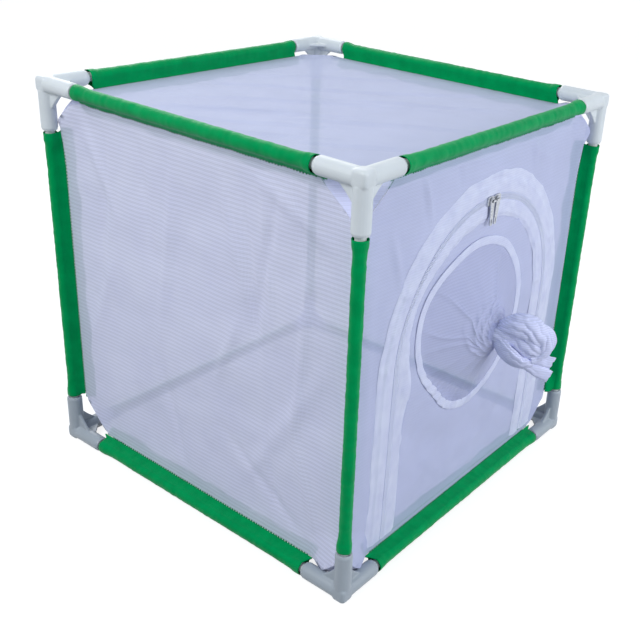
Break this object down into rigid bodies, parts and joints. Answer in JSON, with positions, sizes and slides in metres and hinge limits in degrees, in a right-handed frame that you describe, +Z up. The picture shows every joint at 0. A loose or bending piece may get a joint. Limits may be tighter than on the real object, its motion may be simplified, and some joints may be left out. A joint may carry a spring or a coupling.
{
  "type": "insect cage",
  "caption": "Cube insect cage of net on a frame of plastic tubes and corner fittings, with a zip door that folds down and a round hand port closed by a knotted net sleeve.",
  "frame": {"origin": "centre of the bounding box at the floor, under the four lower fittings", "axes": "+Z up; the zip door and its knot face -Y; +X to the right as seen from the door's side"},
  "size_m": [0.4166, 0.4838, 0.416],
  "materials": {
    "fitting_plastic": "satin white",
    "tube_plastic": "matte white",
    "sleeve_fabric": "woven green",
    "net_fabric": "fine translucent white mesh",
    "facing_fabric": "folded white mesh",
    "zip_tape": "woven tape with a nylon coil",
    "slider_metal": "satin nickel plating"
  },
  "bodies": {
    "cage": {"corner_bottom_front_left": "fitting_plastic", "corner_bottom_front_right": "fitting_plastic", "corner_bottom_back_left": "fitting_plastic", "corner_bottom_back_right": "fitting_plastic", "corner_top_front_left": "fitting_plastic", "corner_top_front_right": "fitting_plastic", "corner_top_back_left": "fitting_plastic", "corner_top_back_right": "fitting_plastic", "tube_bottom_front": "tube_plastic", "tube_bottom_back": "tube_plastic", "tube_bottom_left": "tube_plastic", "tube_bottom_right": "tube_plastic", "tube_top_front": "tube_plastic", "tube_top_back": "tube_plastic", "tube_top_left": "tube_plastic", "tube_top_right": "tube_plastic", "tube_post_front_left": "tube_plastic", "tube_post_front_right": "tube_plastic", "tube_post_back_left": "tube_plastic", "tube_post_back_right": "tube_plastic", "sleeve_bottom_front": "sleeve_fabric", "sleeve_bottom_back": "sleeve_fabric", "sleeve_bottom_left": "sleeve_fabric", "sleeve_bottom_right": "sleeve_fabric", "sleeve_top_front": "sleeve_fabric", "sleeve_top_back": "sleeve_fabric", "sleeve_top_left": "sleeve_fabric", "sleeve_top_right": "sleeve_fabric", "sleeve_post_front_left": "sleeve_fabric", "sleeve_post_front_right": "sleeve_fabric", "sleeve_post_back_left": "sleeve_fabric", "sleeve_post_back_right": "sleeve_fabric", "net_front": "net_fabric", "net_back": "net_fabric", "net_left": "net_fabric", "net_right": "net_fabric", "net_top": "net_fabric", "net_bottom": "net_fabric", "net_corner_bottom_front_left": "net_fabric", "net_corner_bottom_front_right": "net_fabric", "net_corner_bottom_back_left": "net_fabric", "net_corner_bottom_back_right": "net_fabric", "net_corner_top_front_left": "net_fabric", "net_corner_top_front_right": "net_fabric", "net_corner_top_back_left": "net_fabric", "net_corner_top_back_right": "net_fabric", "facing_outer": "facing_fabric", "zip_tape_outer": "zip_tape"},
    "door": {"door_net": "net_fabric", "zip_tape_inner": "zip_tape", "facing_inner": "facing_fabric", "port_binding": "facing_fabric", "port_sleeve": "net_fabric", "sleeve_knot": "net_fabric"},
    "slider_left": {"slider_left": "slider_metal"},
    "slider_right": {"slider_right": "slider_metal"},
    "pull_left": {"pull_left": "slider_metal"},
    "pull_right": {"pull_right": "slider_metal"}
  },
  "joints": [
    {"name": "door_hinge", "type": "hinge", "parent": "cage", "child": "door", "pos_m": [0, -0.15732, 0.02275], "axis": [1, 0, 0], "range_deg": [0, 70]},
    {"name": "slider_left_run", "type": "hinge", "parent": "door", "child": "slider_left", "pos_m": [0, -0.16062, 0.21172], "axis": [0, -0.9998, -0.0175], "range_deg": [0, 87]},
    {"name": "slider_right_run", "type": "hinge", "parent": "door", "child": "slider_right", "pos_m": [0, -0.16062, 0.21172], "axis": [0, 0.9998, 0.0175], "range_deg": [0, 87]},
    {"name": "pull_left_swing", "type": "hinge", "parent": "slider_left", "child": "pull_left", "pos_m": [-0.005, -0.16733, 0.34362], "axis": [0, 0.9998, 0.0175], "range_deg": [-2, 100]},
    {"name": "pull_right_swing", "type": "hinge", "parent": "slider_right", "child": "pull_right", "pos_m": [0.005, -0.16733, 0.34362], "axis": [0, -0.9998, -0.0175], "range_deg": [-2, 100]}
  ]
}
